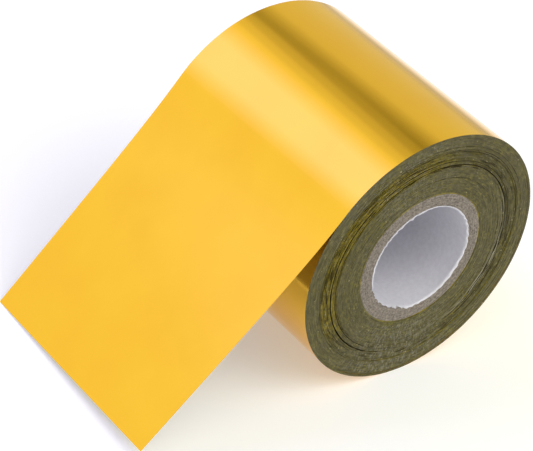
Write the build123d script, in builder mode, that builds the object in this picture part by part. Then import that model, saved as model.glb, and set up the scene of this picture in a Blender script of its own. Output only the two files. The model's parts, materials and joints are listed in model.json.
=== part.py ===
from build123d import *
from math import cos, radians, sin
import os

os.makedirs("parts", exist_ok=True)

# Roll of metallised film on a fibreboard core, lying on its side with its free end let down.
# Millimetres, +Z up. The roll's axis is Y and the origin is on that axis at half the width.
# The near end face looks towards -Y, and the free tail runs down to the floor towards -X.

# Core: a white paper liner inside layers of chipboard
bore_radius = 13.1
liner_thickness = 0.45
ply_thickness = 0.6
ply_count = 5
core_length = 60.0
bore_edge_round = 0.15

# Film winding
roll_radius = 31.5
film_width = 60.0
start_laps_thickness = 0.35
outer_laps_thickness = 0.6
turning_gap = 0.3
groove_width = 0.18
groove_depth = 0.35

# Free tail, drawn at the middle of its thickness
tail_thickness = 0.5
take_off_angle = 143.5
tail_reach = 68.0
tail_end_slope = 48.2
take_off_share = 0.085
tail_start_share = 0.092
fold_share = 0.68
fold_gap = 0.7

core_radius = bore_radius + liner_thickness + ply_count * ply_thickness
winding_radius = roll_radius - outer_laps_thickness - turning_gap


def ring(inner, outer, length, shift):
    """Plain sleeve on the roll's axis, moved along it by shift."""
    with BuildPart() as sleeve:
        with BuildSketch(Plane.XZ.offset(-shift)):
            Circle(outer)
            Circle(inner, mode=Mode.SUBTRACT)
        extrude(amount=length / 2, both=True)
    return sleeve.part


def wound_band(inner, outer, shift, groove_radii):
    """Band of wound film with fine grooves where laps lie back from the near end face."""
    with BuildPart() as band:
        add(ring(inner, outer, film_width, shift))
        if groove_radii:
            near_face = Plane.XZ.offset(film_width / 2 - shift)
            with BuildSketch(near_face):
                for radius in groove_radii:
                    Circle(radius + groove_width / 2)
                    Circle(radius - groove_width / 2, mode=Mode.SUBTRACT)
            extrude(amount=-groove_depth, mode=Mode.SUBTRACT)
    return band.part


def save(part, name):
    part.label = name
    export_step(part, "parts/" + name + ".step")


# Core liner, the wall of the bore, with its cut edges slightly rounded
with BuildPart() as core_liner:
    add(ring(bore_radius, bore_radius + liner_thickness, core_length, 0))
    bore_edges = core_liner.edges().filter_by(GeomType.CIRCLE).group_by(SortBy.RADIUS)[0]
    fillet(bore_edges, radius=bore_edge_round)
save(core_liner.part, "core_liner")

# Chipboard plies, glued one on the next
for ply in range(ply_count):
    ply_inner = bore_radius + liner_thickness + ply * ply_thickness
    core_ply = ring(ply_inner, ply_inner + ply_thickness, core_length, 0)
    save(core_ply, "core_ply_" + str(ply + 1))

# Film winding, from the first laps on the core out to the last full band
start_laps_radius = core_radius + start_laps_thickness
speckled_radius = 0.73 * roll_radius
lined_radius = 0.80 * roll_radius
grooved_radius = 0.87 * roll_radius

film_start_laps = ring(core_radius, start_laps_radius, film_width, 0.1)
save(film_start_laps, "film_start_laps")

film_band_1 = wound_band(start_laps_radius, speckled_radius, 0, [0.60 * roll_radius, 0.68 * roll_radius])
save(film_band_1, "film_band_1")

film_band_2 = wound_band(speckled_radius, lined_radius, 0.12, [0.75 * roll_radius, 0.77 * roll_radius])
save(film_band_2, "film_band_2")

film_band_3 = wound_band(lined_radius, grooved_radius, 0.24, [0.815 * roll_radius, 0.84 * roll_radius])
save(film_band_3, "film_band_3")

film_band_4 = wound_band(grooved_radius, winding_radius, 0.05, [0.885 * roll_radius])
save(film_band_4, "film_band_4")

# Last laps, which keep their place while the winding turns inside them
film_outer_laps = ring(roll_radius - outer_laps_thickness, roll_radius, film_width, 0)
save(film_outer_laps, "film_outer_laps")

# Free tail, leaving the roll along its tangent and easing to a flatter slope
start_angle = radians(take_off_angle)
end_slope = radians(tail_end_slope)
take_off_point = (roll_radius * cos(start_angle), roll_radius * sin(start_angle))
end_point = (-tail_reach, -roll_radius + tail_thickness / 2 * cos(end_slope))
tail_curve = Edge.make_spline(
    [Vector(*take_off_point), Vector(*end_point)],
    tangents=[Vector(-sin(start_angle), cos(start_angle)), Vector(-cos(end_slope), -sin(end_slope))],
)
half_gap_share = fold_gap / 2 / tail_curve.length


def film_strip(first_share, last_share):
    """Part of the tail between two shares of its length, as wide as the film."""
    with BuildPart() as strip:
        with BuildSketch(Plane.XZ):
            with BuildLine():
                add(tail_curve.trim(first_share, last_share))
            trace(line_width=tail_thickness)
        extrude(amount=film_width / 2, both=True)
    return strip.part


# The first of the tail, still lying against the last lap
with BuildPart() as film_take_off:
    add(film_strip(0, take_off_share))
    with BuildSketch(Plane.XZ):
        Circle(roll_radius)
    extrude(amount=film_width, both=True, mode=Mode.SUBTRACT)
save(film_take_off.part, "film_take_off")

# The length that is drawn away from the roll
film_tail = film_strip(tail_start_share, fold_share - half_gap_share)
save(film_tail, "film_tail")

# The square-cut free end, which lifts off the floor
film_tail_end = film_strip(fold_share + half_gap_share, 1)
save(film_tail_end, "film_tail_end")
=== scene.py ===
import bpy
import json
import math
import numpy as np
from mathutils import Matrix, Vector


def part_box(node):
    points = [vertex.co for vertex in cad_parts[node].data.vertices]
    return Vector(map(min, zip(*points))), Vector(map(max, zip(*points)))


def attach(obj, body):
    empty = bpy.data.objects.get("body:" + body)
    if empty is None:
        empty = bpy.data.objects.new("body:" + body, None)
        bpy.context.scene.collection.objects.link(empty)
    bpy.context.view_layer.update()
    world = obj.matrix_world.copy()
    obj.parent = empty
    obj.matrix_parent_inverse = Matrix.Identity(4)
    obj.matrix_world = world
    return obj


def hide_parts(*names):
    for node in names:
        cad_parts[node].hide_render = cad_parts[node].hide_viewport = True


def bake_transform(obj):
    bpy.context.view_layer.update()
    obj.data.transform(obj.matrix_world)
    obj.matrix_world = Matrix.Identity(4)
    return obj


# Roll of gold metallised film on a fibreboard core, its free tail let down to the floor.
# Metres, +Z up. The roll's axis is Y and its near end face looks towards -Y.
# Angles round the roll are measured from +X towards +Z.

MM = 0.001
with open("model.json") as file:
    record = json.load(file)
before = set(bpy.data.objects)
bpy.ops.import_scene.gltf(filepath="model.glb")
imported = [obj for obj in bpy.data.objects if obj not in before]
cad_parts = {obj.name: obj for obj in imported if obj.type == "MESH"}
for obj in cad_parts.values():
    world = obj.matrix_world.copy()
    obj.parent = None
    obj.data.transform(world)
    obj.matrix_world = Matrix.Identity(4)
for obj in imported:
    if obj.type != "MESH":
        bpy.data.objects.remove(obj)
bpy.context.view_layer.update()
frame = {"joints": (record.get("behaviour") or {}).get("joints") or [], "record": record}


# ---- Sizes, from the frame ----

def outer_radius(node):
    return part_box(node)[1].x


def half_length(node):
    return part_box(node)[1].y


def joint_place(name):
    joint = next(j for j in frame["joints"] if j["name"] == name)
    return Vector(joint["pos_m"])


mounts = {mount["name"]: mount for mount in frame["record"]["mounts"]}
bore_radius = mounts["core_bore"]["dims"]["r_mm"] * MM
roll_radius = outer_radius("film_outer_laps")
half_width = half_length("film_outer_laps")
core_half_length = half_length("core_liner")
floor_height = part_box("film_outer_laps")[0].z
ply_nodes = ["core_ply_1", "core_ply_2", "core_ply_3", "core_ply_4", "core_ply_5"]


# ---- Mesh building ----

def mesh_piece(name, points, faces):
    mesh = bpy.data.meshes.new(name)
    mesh.from_pydata(points.tolist(), [], faces)
    mesh.shade_smooth()
    piece = bpy.data.objects.new(name, mesh)
    bpy.context.collection.objects.link(piece)
    return piece


def grid_piece(name, points, wrap=False):
    """Mesh of quads over a grid of points. wrap closes it both ways, into a ring."""
    rows, columns = points.shape[:2]
    row = np.arange(rows if wrap else rows - 1)[:, None]
    column = np.arange(columns if wrap else columns - 1)[None, :]
    next_row = (row + 1) % rows
    next_column = (column + 1) % columns
    corners = [(row, column), (next_row, column), (next_row, next_column), (row, next_column)]
    faces = np.stack([r * columns + c for r, c in corners], axis=-1).reshape(-1, 4)
    return mesh_piece(name, points.reshape(-1, 3), faces.tolist())


def tube_piece(name, loops):
    """Closed mesh over a row of loops, with a face across the first and the last."""
    rows, columns = loops.shape[:2]
    row = np.arange(rows - 1)[:, None]
    column = np.arange(columns)[None, :]
    beside = (column + 1) % columns
    corners = [row * columns + column, row * columns + beside,
               (row + 1) * columns + beside, (row + 1) * columns + column]
    faces = np.stack(np.broadcast_arrays(*corners), axis=-1).reshape(-1, 4).tolist()
    last_row = (rows - 1) * columns
    for start, side in ((0, 1), (last_row, -1)):
        for step in range(columns // 2 - 1):
            opposite = columns - 1 - step
            corners = [start + step, start + opposite, start + opposite - 1, start + step + 1]
            faces.append(corners[::side])
    return mesh_piece(name, loops.reshape(-1, 3), faces)


def lathe(name, profile, segments, shape):
    """Ring made by turning a loop of (radius, y) points round the Y axis.
    shape(radius, y, angle) gives the place that each point moves to."""
    profile = np.array(profile)
    angle = np.linspace(0, 2 * np.pi, segments, endpoint=False)[None, :]
    radius, y, angle = np.broadcast_arrays(profile[:, :1], profile[:, 1:], angle)
    radius, y = shape(radius, y, angle)
    points = np.stack([radius * np.cos(angle), y, radius * np.sin(angle)], axis=-1)
    piece = grid_piece(name, points, wrap=True)
    piece.data.set_sharp_from_angle(angle=math.radians(50))
    return piece


def sleeve_profile(inner, outer, near, far, row_pitch):
    """Loop round a sleeve's section, with rows across both end faces."""
    rows = max(3, round((outer - inner) / row_pitch))
    radii = np.linspace(inner, outer, rows)
    return [(r, near) for r in radii] + [(r, far) for r in radii[::-1]]


def bell(distance, width):
    return np.exp(-(distance / width) ** 2)


def rough(angle, seed, terms, slowest, fastest):
    """Repeatable roughness round the roll: a sum of waves, mostly between -1 and 1."""
    random = np.random.default_rng(seed)
    total = 0 * angle
    for _ in range(terms):
        turns = random.integers(slowest, fastest)
        total = total + np.cos(turns * angle + random.uniform(0, 2 * np.pi))
    return total / math.sqrt(terms)


def turn_from(angle, centre):
    """Angle from centre, between -pi and pi."""
    return (angle - centre + np.pi) % (2 * np.pi) - np.pi


# ---- Materials ----

class Material:
    """A node material with a Principled shader, and short ways to add and join nodes."""

    def __init__(self, name):
        self.material = bpy.data.materials.new(name)
        self.material.use_nodes = True
        self.tree = self.material.node_tree
        self.shader = self.tree.nodes["Principled BSDF"]

    def set(self, name, value):
        self.shader.inputs[name].default_value = value

    def node(self, kind, inputs=None, **settings):
        node = self.tree.nodes.new("ShaderNode" + kind)
        for name, value in settings.items():
            setattr(node, name, value)
        for name, value in (inputs or {}).items():
            if isinstance(value, bpy.types.NodeSocket):
                self.tree.links.new(value, node.inputs[name])
            else:
                node.inputs[name].default_value = value
        return node

    def math(self, operation, first, second=0.0):
        return self.node("Math", {0: first, 1: second}, operation=operation).outputs[0]

    def vector(self, operation, first, second=(0, 0, 0)):
        return self.node("VectorMath", {0: first, 1: second}, operation=operation).outputs[0]

    def noise(self, vector, scale, detail=2.0, roughness=0.5):
        inputs = {"Vector": vector, "Scale": scale, "Detail": detail, "Roughness": roughness}
        return self.node("TexNoise", inputs).outputs["Fac"]

    def ramp(self, value, stops):
        """Smooth step of a value between the places in stops, each (place, colour)."""
        node = self.node("ValToRGB", {"Fac": value})
        elements = node.color_ramp.elements
        while len(elements) < len(stops):
            elements.new(0.5)
        for element, (place, colour) in zip(elements, stops):
            element.position = place
            element.color = (*colour, 1)
        return node.outputs["Color"]

    def mix(self, share, first, second):
        node = self.node("Mix", {"Factor": share}, data_type="RGBA")
        for socket, value in ((node.inputs[6], first), (node.inputs[7], second)):
            if isinstance(value, bpy.types.NodeSocket):
                self.tree.links.new(value, socket)
            else:
                socket.default_value = (*value, 1)
        return node.outputs[2]

    def bump(self, height, distance, strength=1.0):
        inputs = {"Height": height, "Distance": distance, "Strength": strength}
        self.join(self.node("Bump", inputs).outputs["Normal"], "Normal")

    def join(self, socket, name):
        self.tree.links.new(socket, self.shader.inputs[name])

    def place(self):
        return self.node("TexCoord").outputs["Object"]

    def flat_place(self):
        return self.vector("MULTIPLY", self.place(), (1, 0, 1))

    def radius(self):
        return self.node("VectorMath", {0: self.flat_place()}, operation="LENGTH").outputs["Value"]

    def round_place(self, along, across):
        """Place on an end face: noise there is stretched along the laps."""
        unit = self.vector("NORMALIZE", self.flat_place())
        turned = self.vector("MULTIPLY", unit, (along, along, along))
        lift = self.node("CombineXYZ", {"Y": self.math("MULTIPLY", self.radius(), across)}).outputs[0]
        return self.vector("ADD", turned, lift)

    def arc(self, centre, half_angle, inner, outer):
        """Soft-edged stretch of a ring: 1 inside it. inner and outer are shares of the roll's radius."""
        centre = math.radians(centre)
        inputs = {0: self.vector("NORMALIZE", self.flat_place()), 1: (math.cos(centre), 0, math.sin(centre))}
        facing = self.node("VectorMath", inputs, operation="DOT_PRODUCT").outputs["Value"]
        edge = math.cos(math.radians(half_angle))
        wanders = self.math("MULTIPLY", self.noise(self.place(), 220, 3), 0.02)
        share = self.math("ADD", self.math("DIVIDE", self.radius(), roll_radius), wanders)
        across = self.ramp(share, [(inner, (0,) * 3), (inner + 0.02, (1,) * 3),
                                   (outer, (1,) * 3), (outer + 0.015, (0,) * 3)])
        along = self.ramp(facing, [(max(edge - 0.15, 0), (0,) * 3), (min(edge + 0.15, 1), (1,) * 3)])
        return self.math("MULTIPLY", across, along)


def gold_film():
    """Polyester film, metallised under a clear gold lacquer."""
    made = Material("gold_film")
    cloud = made.noise(made.place(), 55, 3)
    made.join(made.ramp(cloud, [(0.35, (0.94, 0.535, 0.053)), (0.65, (0.96, 0.565, 0.055))]), "Base Color")
    made.set("Metallic", 1.0)
    made.join(made.ramp(cloud, [(0.3, (0.12,) * 3), (0.7, (0.155,) * 3)]), "Roughness")
    fine = made.noise(made.place(), 900, 2)
    made.bump(fine, 0.000002, 0.4)
    return made.material


def film_backing():
    """Dull inner side of the film."""
    made = Material("film_backing")
    cloud = made.noise(made.place(), 300, 3)
    made.join(made.ramp(cloud, [(0.35, (0.25, 0.215, 0.12)), (0.65, (0.31, 0.27, 0.16))]), "Base Color")
    made.set("Metallic", 0.6)
    made.set("Roughness", 0.42)
    return made.material


def film_edges():
    """The slit edges of hundreds of laps, seen end on: olive, with flecks along the laps, painted shade in
    the grooves between laps, a golden stretch where laps have slipped that is a painted sheen of their
    gold faces, a bundle of bright laps, and a painted grey sheen along the cut marks."""
    made = Material("film_edges")
    laps = made.noise(made.round_place(10, 4200), 1, 3, 0.65)
    flecks = made.noise(made.round_place(20, 2400), 1, 3, 0.6)
    mottle = made.noise(made.place(), 1000, 4, 0.65)
    patches = made.noise(made.place(), 190, 3, 0.6)
    base = made.ramp(mottle, [(0.4, (0.055, 0.049, 0.014)), (0.6, (0.12, 0.105, 0.048))])
    olive = made.ramp(flecks, [(0.42, (0.05, 0.044, 0.006)), (0.6, (0.15, 0.128, 0.016))])
    share = made.ramp(patches, [(0.35, (0.25,) * 3), (0.65, (0.75,) * 3)])
    colour = made.mix(share, base, olive)
    tone = made.ramp(made.noise(made.round_place(9, 900), 1, 3, 0.6), [(0.42, (0.45,) * 3), (0.58, (0,) * 3)])
    colour = made.mix(tone, colour, (0.045, 0.04, 0.01))
    # Painted shade: the edges are coloured dark where the lap bump is low, in the grooves between laps.
    groove_shade = made.ramp(laps, [(0.36, (0.0,) * 3), (0.48, (1,) * 3)])
    colour = made.mix(groove_shade, (0.038, 0.033, 0.01), colour)
    # Painted sheen: a golden tint over the stretch where laps have slipped, for the glint of their gold
    # faces.
    golden = made.ramp(flecks, [(0.4, (0.06, 0.045, 0.001)), (0.62, (0.23, 0.175, 0.004))])
    colour = made.mix(made.math("MULTIPLY", made.arc(152, 62, 0.735, 0.875), 0.75), colour, golden)
    bright = made.ramp(made.noise(made.round_place(3, 3600), 1, 2),
                       [(0.4, (0.02, 0.018, 0.006)), (0.49, (0.08, 0.072, 0.03)), (0.56, (0.33, 0.31, 0.22))])
    colour = made.mix(made.math("MULTIPLY", made.arc(-18, 36, 0.735, 0.785), 0.8), colour, bright)
    # Painted sheen: grey along the cut marks in two stretches opposite each other, for the highlight of the
    # fine grooves.
    marks = made.ramp(made.noise(made.round_place(55, 750), 1, 3, 0.6), [(0.48, (0,) * 3), (0.68, (1,) * 3)])
    for centre, half_angle, amount in ((265, 28, 0.65), (108, 18, 0.35)):
        painted_sheen = made.math("MULTIPLY", made.arc(centre, half_angle, 0.56, 0.97), marks)
        colour = made.mix(made.math("MULTIPLY", painted_sheen, amount), colour, (0.22, 0.21, 0.17))
    specks = made.ramp(made.noise(made.place(), 1500, 2), [(0.66, (0,) * 3), (0.74, (1,) * 3)])
    made.join(made.mix(specks, colour, (0.3, 0.27, 0.13)), "Base Color")
    made.set("Roughness", 0.45)
    made.set("Specular IOR Level", 0.24)
    made.set("Anisotropic", 0.7)
    made.join(made.node("Tangent", direction_type="RADIAL", axis="Y").outputs[0], "Tangent")
    made.bump(laps, 0.00008, 0.7)
    return made.material


def painted_lap_shade():
    """Painted shade: dark faces of laps down in the gaps, coloured for the shadow there."""
    made = Material("painted_lap_shade")
    laps = made.noise(made.round_place(12, 4000), 1, 2)
    made.join(made.ramp(laps, [(0.35, (0.015, 0.011, 0.002)), (0.65, (0.05, 0.037, 0.005))]), "Base Color")
    made.set("Roughness", 0.6)
    made.set("Specular IOR Level", 0.2)
    return made.material


def yellow_laps():
    """Yellow-olive faces of single laps, seen in the gaps and next to the core."""
    made = Material("yellow_laps")
    laps = made.noise(made.round_place(12, 4000), 1, 2)
    patches = made.ramp(made.noise(made.place(), 170, 3, 0.6), [(0.42, (0.9,) * 3), (0.6, (0.1,) * 3)])
    yellow = made.ramp(laps, [(0.35, (0.13, 0.105, 0.008)), (0.65, (0.28, 0.225, 0.02))])
    made.join(made.mix(patches, yellow, (0.075, 0.065, 0.02)), "Base Color")
    made.set("Roughness", 0.45)
    made.set("Specular IOR Level", 0.3)
    return made.material


def chipboard():
    """Grey-brown recycled board: cut fibres and specks, in faint layers."""
    made = Material("chipboard")
    fibres = made.noise(made.place(), 1500, 4, 0.7)
    layers = made.noise(made.round_place(5, 3600), 1, 2)
    base = made.ramp(fibres, [(0.38, (0.09, 0.075, 0.061)), (0.62, (0.305, 0.264, 0.222))])
    layered = made.ramp(layers, [(0.38, (0.11, 0.09, 0.073)), (0.62, (0.25, 0.218, 0.188))])
    made.join(made.mix(0.35, base, layered), "Base Color")
    made.set("Roughness", 0.9)
    made.bump(fibres, 0.00014, 0.9)
    return made.material


def liner_paper():
    """Smooth white paper."""
    made = Material("liner_paper")
    fibres = made.noise(made.place(), 1100, 4, 0.65)
    made.join(made.ramp(fibres, [(0.35, (0.55, 0.545, 0.6)), (0.65, (0.61, 0.605, 0.66))]), "Base Color")
    made.set("Roughness", 0.6)
    made.bump(fibres, 0.00003, 0.4)
    return made.material


def glowing_floor():
    """White acrylic sweep that glows near the roll, a painted light that lifts the shadows there; its
    colour is painted darker, to grey, away from the roll.
    """
    made = Material("glowing_floor")
    flat = made.vector("MULTIPLY", made.place(), (1, 1, 0))
    reach = made.node("VectorMath", {0: flat}, operation="LENGTH").outputs["Value"]
    # Painted shade: the floor's colour darkens to grey away from the roll.
    made.join(made.ramp(reach, [(0.2, (0.75,) * 3), (0.5, (0.45,) * 3)]), "Base Color")
    # Painted light: the floor glows near the roll and fades further out, lifting the shadows there.
    made.join(made.ramp(reach, [(0.12, (0.98, 0.98, 0.95)), (0.4, (0.15,) * 3)]), "Emission Color")
    made.set("Emission Strength", 0.28)
    made.set("Roughness", 0.8)
    return made.material


gold = gold_film()
backing = film_backing()
edges = film_edges()
lap_faces = yellow_laps()
shade = painted_lap_shade()


# ---- Core ----

tear_centre = math.radians(232)
tear_half_angle = math.radians(34)
liner_outer = bore_radius + 0.45 * MM
paper = liner_paper()
board = chipboard()


def torn(angle):
    """1 inside the torn stretch of the near edge, 0 outside it."""
    distance = np.abs(turn_from(angle, tear_centre)) / tear_half_angle
    return np.clip((1 - distance) * 5, 0, 1)


def core_liner():
    """White liner. Its near edge stands a little proud and is torn back at the lower left."""
    lengthwise = [-core_half_length + step * MM for step in (0, 0.15, 0.4, 0.8, 1.3, 2, 3)]
    middle = np.linspace(-core_half_length + 4 * MM, core_half_length, 24)
    inside = [(bore_radius, y) for y in [*lengthwise[1:], *middle][::-1]]
    rim = bore_radius + 0.22 * MM
    outside = [(rim, -core_half_length), (liner_outer, -core_half_length), (liner_outer, core_half_length)]

    def shape(radius, y, angle):
        near = bell(y + core_half_length, 1.2 * MM)
        cut = 0.12 * MM * rough(angle, 3, 9, 5, 60)
        tear = torn(angle) * (0.75 + 0.35 * rough(angle, 5, 12, 20, 110)) * MM
        oval = 0.1 * MM * np.cos(2 * angle - 1.9) + 0.05 * MM * np.cos(5 * angle)
        end = (y < -core_half_length + 1e-6)
        y = y + np.where(end, -0.1 * MM + cut, 0) + near * np.clip(tear, 0, 2 * MM)
        ragged = 0.07 * MM * rough(angle, 7, 12, 10, 120) * (np.abs(radius - rim) < 1e-6)
        radius = radius + ragged + oval * (radius < liner_outer - 1e-6) * near
        return radius, y

    piece = lathe("core_liner_paper", inside + outside, 360, shape)
    piece.data.materials.append(paper)
    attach(piece, "winding")
    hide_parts("core_liner")


def core_ply(node, inner, burr):
    """One chipboard ply, its cut ends rough. burr fills the near edge of the first ply into the tear."""
    outer = outer_radius(node)
    end = half_length(node)
    profile = sleeve_profile(inner, outer, -end, end, 0.1 * MM)
    profile = profile + [(inner, -end + 1.2 * MM), (inner, -end + 0.5 * MM)]
    seed = ply_nodes.index(node) + 20

    def shape(radius, y, angle):
        at_end = np.abs(np.abs(y) - end) < 1e-6
        fuzz = 0.05 * MM * rough(angle + 40 * radius / MM, seed, 12, 30, 170)
        seam = 0.06 * MM * (bell(radius - inner, 0.07 * MM) + bell(radius - outer, 0.07 * MM))
        y = y + np.where(at_end, -np.sign(y) * (seam + fuzz), 0)
        near = (y < -end + 0.7 * MM) & (radius < inner + 1e-6)
        ragged = np.clip(0.5 + 0.5 * rough(angle, seed + 1, 10, 15, 90), 0, 1)
        radius = radius - near * burr * torn(angle) * ragged
        return radius, y

    piece = lathe(node + "_board", profile, 480, shape)
    piece.data.materials.append(board)
    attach(piece, "winding")
    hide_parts(node)


def core():
    core_liner()
    inner = liner_outer
    for node in ply_nodes:
        core_ply(node, inner, 0.4 * MM if node == "core_ply_1" else 0)
        inner = outer_radius(node)


# ---- Wound film ----

outer_laps_inner = roll_radius - 0.6 * MM
turning_gap = 0.02 * MM


class Gap:
    """Open gap between two laps in an end face, over part of a turn."""

    def __init__(self, share, depth, centre, half_angle, half_width=0.07):
        self.radius = share * roll_radius
        self.depth = depth * MM
        self.centre = math.radians(centre)
        self.half_angle = math.radians(half_angle)
        self.half_width = half_width * MM


class Band:
    """How one band of wound film looks at its end faces.
    depth is how far its laps stand in and out. Steps are walls that face outwards, between
    first_step and last_step, and drift is how far its laps wander from a true circle."""

    def __init__(self, seed, depth, gaps=(), steps=(), step_height=0.0, drift=0.1, drift_centre=0):
        self.seed = seed
        self.depth = depth * MM
        self.gaps = gaps
        self.steps = np.array(steps) * roll_radius
        self.step_height = step_height * MM
        self.drift = drift * MM
        self.drift_centre = math.radians(drift_centre)


wall_width = 0.012 * MM
gap_top = 0.1 * MM
deepest_gap = 2 * MM


def face_radii(inner, outer, band):
    """Radii of the rows across an end face, closer together at each gap and step."""
    radii = list(np.linspace(inner, outer, max(3, round((outer - inner) / (0.12 * MM)))))
    for gap in band.gaps:
        radii += [gap.radius + share * gap.half_width for share in (-1.6, -1.05, -0.8, 0.8, 1.05, 1.6)]
    for step in band.steps:
        radii += [step, step + wall_width]
    return np.unique(radii)


def lap_heights(inner, outer, band):
    """Height of the laps in an end face by radius and angle: streaks that run along the laps."""
    random = np.random.default_rng(band.seed)
    places = np.linspace(inner, outer, max(4, round((outer - inner) / (0.2 * MM))))
    steady = random.normal(0, 0.5 * band.depth, places.size)
    turns = (1, 2, 3, 5, 8, 13, 21, 34)
    sizes = random.normal(0, 0.3 * band.depth, (len(turns), 2, places.size))
    walls = [(step, rough_table(random)) for step in band.steps]

    def height(radius, angle):
        total = np.interp(radius, places, steady)
        for count, (first, second) in zip(turns, sizes):
            total = total + np.interp(radius, places, first) * np.cos(count * angle)
            total = total + np.interp(radius, places, second) * np.sin(count * angle)
        for step, waves in walls:
            rise = np.clip((radius - step) / (0.3 * MM) + 1, 0, 1) * (radius <= step + 0.1 * wall_width)
            share = np.clip(0.5 + 0.5 * waves(angle), 0, 1)
            total = total + band.step_height * share * rise
        return total

    return height


def rough_table(random):
    """Slow waves round the roll, mostly between -1 and 1."""
    turns = random.integers(2, 30, 6)
    starts = random.uniform(0, 2 * np.pi, 6)

    def waves(angle):
        return sum(np.cos(count * angle + start) for count, start in zip(turns, starts)) / math.sqrt(6)

    return waves


def lap_shape(inner, outer, band):
    """Places of the laps in a band. They wander in and out as they go round, except at its two edges."""
    height = lap_heights(inner, outer, band)

    def shape(radius, y, angle):
        step = height(radius, angle)
        for number, gap in enumerate(band.gaps):
            share = np.clip(1.4 - np.abs(turn_from(angle, gap.centre)) / gap.half_angle, 0, 1)
            share = share * np.clip(0.75 + 0.45 * rough(angle, band.seed * 10 + number, 8, 3, 40), 0, 1)
            step = step - gap.depth * share * (np.abs(radius - gap.radius) < 0.95 * gap.half_width)
        middle = np.clip(np.minimum(radius - inner, outer - radius) / (0.9 * MM), 0, 1)
        wander = band.drift * np.cos(angle - band.drift_centre) + 0.07 * MM * np.cos(3 * angle + band.seed)
        return radius + middle * wander, y + np.sign(y) * step

    return shape


def film_sleeve(name, inner, outer, near, far, band, wall, segments):
    """Sleeve of wound film: slit edges at its ends, wall material on its round walls, and painted
    shade on the faces down in the gaps.
    """
    radii = face_radii(inner, outer, band)
    profile = [(r, near) for r in radii] + [(r, far) for r in radii[::-1]]
    piece = lathe(name, profile, segments, lap_shape(inner, outer, band))
    for material in (wall, edges, shade):
        piece.data.materials.append(material)
    for polygon in piece.data.polygons:
        # Faces down in a gap get the dark painted shade, for the shadow there.
        recess = min(abs(polygon.center.y - near), abs(polygon.center.y - far))
        if gap_top < recess < deepest_gap:
            polygon.material_index = 2
        else:
            polygon.material_index = int(abs(polygon.normal.y) > 0.5)
    return piece


def film_band(node, inner, outer, band):
    low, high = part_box(node)
    piece = film_sleeve(node + "_laps", inner, outer, low.y, high.y, band, lap_faces, 480)
    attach(piece, "winding")
    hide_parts(node)
    return piece


def winding():
    first_outer = outer_radius("film_start_laps")
    first = film_band("film_start_laps", outer_radius("core_ply_5"), first_outer, Band(1, 0.03))
    first.data.materials[1] = lap_faces
    bands = {
        "film_band_1": Band(2, 0.035, [Gap(0.655, 0.25, 60, 40, 0.05), Gap(0.7, 0.4, -20, 40, 0.05),
                                       Gap(0.715, 0.3, 275, 30, 0.05)],
                            [0.58, 0.61, 0.64, 0.67, 0.7], 0.04),
        "film_band_2": Band(3, 0.04, [Gap(0.741, 0.6, -15, 35, 0.06), Gap(0.758, 1.6, 110, 105, 0.1),
                                      Gap(0.766, 0.6, -15, 35, 0.06), Gap(0.776, 0.4, -10, 40, 0.05),
                                      Gap(0.79, 1.8, 130, 110, 0.11)],
                            np.arange(0.745, 0.795, 0.008), 0.14, 0.5, -10),
        "film_band_3": Band(4, 0.04, [Gap(0.83, 0.5, 150, 60, 0.05), Gap(0.862, 0.5, 130, 80, 0.06)],
                            np.arange(0.805, 0.868, 0.008), 0.14, 0.2, 130),
        "film_band_4": Band(5, 0.025, [Gap(0.878, 0.6, 120, 90, 0.06), Gap(0.905, 0.3, 60, 60, 0.04)],
                            [0.875, 0.884, 0.9, 0.93], 0.06),
    }
    inner = first_outer
    for node, band in bands.items():
        outer = outer_laps_inner - turning_gap if node == "film_band_4" else outer_radius(node)
        film_band(node, inner, outer, band)
        inner = outer


def outer_laps():
    """The last laps: gold outside, slit edges at both ends."""
    piece = film_sleeve("film_outer_laps_gold", outer_laps_inner, roll_radius, -half_width, half_width,
                        Band(9, 0.008, drift=0), gold, 720)
    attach(piece, "outer_path")
    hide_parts("film_outer_laps")


# ---- Free tail ----

take_off_angle = math.radians(143.5)
take_off_skew = math.radians(0.75)
end_slope = math.radians(46.73)
end_twist = math.radians(1.86)
ease_distance = 12.3 * MM
film_clearance = 0.004 * MM
film_thickness = 0.03 * MM
longest_tail = 90 * MM
bend_reach = 8.5 * MM
double_row = 0.02 * MM


def tail_points(distances, across):
    """Points of the tail at distances from the take-off, and across from -1, near, to 1, far.
    Its slope eases from the roll's tangent to the slope of its free end."""
    start = take_off_angle + take_off_skew * across[None, :]
    start_slope = start - math.pi / 2
    last_slope = end_slope + end_twist * across[None, :]
    steps = np.linspace(0, distances.max(), 2000)[:, None]
    slope = last_slope + (start_slope - last_slope) * np.exp(-steps / ease_distance)
    gap = steps[1] - steps[0]
    run = np.vstack([0 * start, np.cumsum((np.cos(slope[1:]) + np.cos(slope[:-1])) / 2 * gap, axis=0)])
    drop = np.vstack([0 * start, np.cumsum((np.sin(slope[1:]) + np.sin(slope[:-1])) / 2 * gap, axis=0)])
    radius = roll_radius + film_clearance

    def at_distances(table):
        return np.stack([np.interp(distances, steps[:, 0], column) for column in table.T], axis=-1)

    x = at_distances(radius * np.cos(start) - run)
    y = np.broadcast_to(across * half_width, (distances.size, across.size))
    z = at_distances(radius * np.sin(start) - drop)
    return np.stack([x, y, z], axis=-1)


def tail_line(across):
    """Distances along the tail, and its points there, at one place across it."""
    distances = np.linspace(0, longest_tail, 1500)
    return distances, tail_points(distances, np.array([across]))[:, 0]


def tail_length():
    """The distance at which the far edge comes down to the floor."""
    distances, far = tail_line(1.0)
    return float(np.interp(-floor_height - film_thickness, -far[:, 2], distances))


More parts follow.
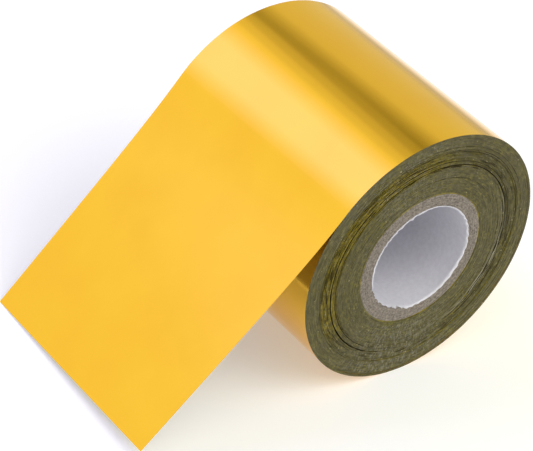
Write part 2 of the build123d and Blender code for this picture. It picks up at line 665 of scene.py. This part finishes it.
def film_sheet(name, first, last, columns=61):
    """Stretch of the tail, gold above and dull below. Its first and last rows are doubled, so that
    neighbours shade as one."""
    inside = np.linspace(first, last, 160)
    inside[0] = first + double_row
    inside[-1] = last - double_row
    distances = np.array([first, *inside, last])
    above = tail_points(distances, np.linspace(-1, 1, columns))
    along = np.gradient(above, axis=0)
    across = np.gradient(above, axis=1)
    down = np.cross(along, across)
    down = down / np.linalg.norm(down, axis=2, keepdims=True)
    below = above - film_thickness * down * np.sign(down[0, 0, 2])
    loop = np.concatenate([above, below[:, ::-1]], axis=1)
    piece = tube_piece(name, loop)
    piece.data.materials.append(gold)
    piece.data.materials.append(backing)
    for polygon in piece.data.polygons:
        polygon.material_index = int(polygon.normal.z < 0)
    piece.data.set_sharp_from_angle(angle=math.radians(50))
    return piece


def tail():
    distances, line = tail_line(0.0)
    length = tail_length()
    hinge = joint_place("tail_end_lift")
    fold = float(np.interp(-hinge.z, -line[:, 2], distances))

    def middle(distance):
        return Vector([np.interp(distance, distances, line[:, i]) for i in range(3)])

    seam = fold - bend_reach
    upper = film_sheet("film_tail_upper", 0, seam)
    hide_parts("film_take_off", "film_tail")
    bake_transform(upper)
    lower = film_sheet("film_tail_free_end", seam, length)
    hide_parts("film_tail_end")
    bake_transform(lower)


core()
winding()
outer_laps()
tail()


# ---- Floor, light and camera ----

def floor():
    points = np.array([[(x, y, floor_height) for y in (-3, 3)] for x in (-3, 3)], float)
    plane = grid_piece("floor", points)
    plane.data.materials.append(glowing_floor())


def softbox(name, angle, lean, distance, spread, feather, length, radiance, colour=(1, 1, 1)):
    """Soft rectangular light that faces the roll, its length in line with the roll's axis.
    It hangs at an angle round the axis, spreads to each side of that angle, and leans towards +Y.
    Nested lamps feather its edges. Radiance 1 looks as bright as white paper should."""
    angle, lean = math.radians(angle), math.radians(lean)
    out = Vector((math.cos(angle) * math.cos(lean), math.sin(lean), math.sin(angle) * math.cos(lean)))
    across = Vector((0, 1, 0)).cross(out).normalized()
    turn = Matrix((across, out.cross(across), out)).transposed()
    layers = 4
    layer_gap = 0.005
    for layer in range(layers):
        half_angle = math.radians(spread + feather * (2 * layer / (layers - 1) - 1))
        light = bpy.data.lights.new(name, "AREA")
        light.shape = "RECTANGLE"
        light.size = 2 * distance * math.cos(lean) * math.tan(half_angle)
        light.size_y = length
        light.energy = radiance / layers * math.pi * light.size * light.size_y
        light.color = colour
        lamp = bpy.data.objects.new(f"{name}_{layer}", light)
        bpy.context.collection.objects.link(lamp)
        lamp.matrix_world = Matrix.Translation(out * (distance + layer_gap * layer)) @ turn.to_4x4()
        lamp.visible_camera = False


def sky(front, back):
    """Studio walls: white ones in front of the roll, towards -Y, that fade to grey ones behind it."""
    world = bpy.data.worlds.new("studio")
    world.use_nodes = True
    tree = world.node_tree
    direction = tree.nodes.new("ShaderNodeTexCoord").outputs["Generated"]
    parts = tree.nodes.new("ShaderNodeSeparateXYZ")
    tree.links.new(direction, parts.inputs[0])
    fade = tree.nodes.new("ShaderNodeMapRange")
    fade.interpolation_type = "SMOOTHSTEP"
    tree.links.new(parts.outputs["Y"], fade.inputs["Value"])
    fade.inputs["From Min"].default_value = -0.25
    fade.inputs["From Max"].default_value = 0.2
    mix = tree.nodes.new("ShaderNodeMix")
    mix.data_type = "RGBA"
    tree.links.new(fade.outputs["Result"], mix.inputs["Factor"])
    mix.inputs[6].default_value = (*front, 1)
    mix.inputs[7].default_value = (*back, 1)
    tree.links.new(mix.outputs[2], tree.nodes["Background"].inputs["Color"])
    bpy.context.scene.world = world


camera_azimuth = math.radians(-42.45)
camera_elevation = math.radians(34.77)
camera_roll = math.radians(10.37)
camera_distance = 0.5348
camera_target = Vector((-0.01495, 0.00468, -0.00955))
camera_lens = 159.47


def camera():
    level = Vector((math.cos(camera_azimuth), math.sin(camera_azimuth), 0))
    back = Vector((math.sin(camera_azimuth) * math.cos(camera_elevation),
                   -math.cos(camera_azimuth) * math.cos(camera_elevation), math.sin(camera_elevation)))
    upright = back.cross(level)
    right = level * math.cos(camera_roll) + upright * math.sin(camera_roll)
    data = bpy.data.cameras.new("camera")
    data.lens = camera_lens
    data.sensor_width = 36
    data.clip_start = 0.01
    data.clip_end = 20
    made = bpy.data.objects.new("camera", data)
    bpy.context.collection.objects.link(made)
    made.matrix_world = Matrix.Translation(camera_target + back * camera_distance) @ Matrix(
        (right, back.cross(right), back)).transposed().to_4x4()
    bpy.context.scene.camera = made


floor()
softbox("front_key", 76, -40, 1.0, 24, 7, 0.75, 2.8, (1, 0.99, 0.91))
softbox("left_box", 132, 37, 0.6, 48, 9, 0.56, 0.73, (1, 1, 0.84))
softbox("top_strip", 120, 37, 0.57, 19, 6, 0.56, 0.3, (1, 0.93, 8))
softbox("right_box", 28, 37, 0.6, 30, 7, 0.6, 0.49, (1, 1, 0.84))
sky(front=(1.04, 1.03, 0.98), back=(0.28, 0.27, 0.14))
camera()
bpy.context.scene.view_settings.view_transform = "Standard"
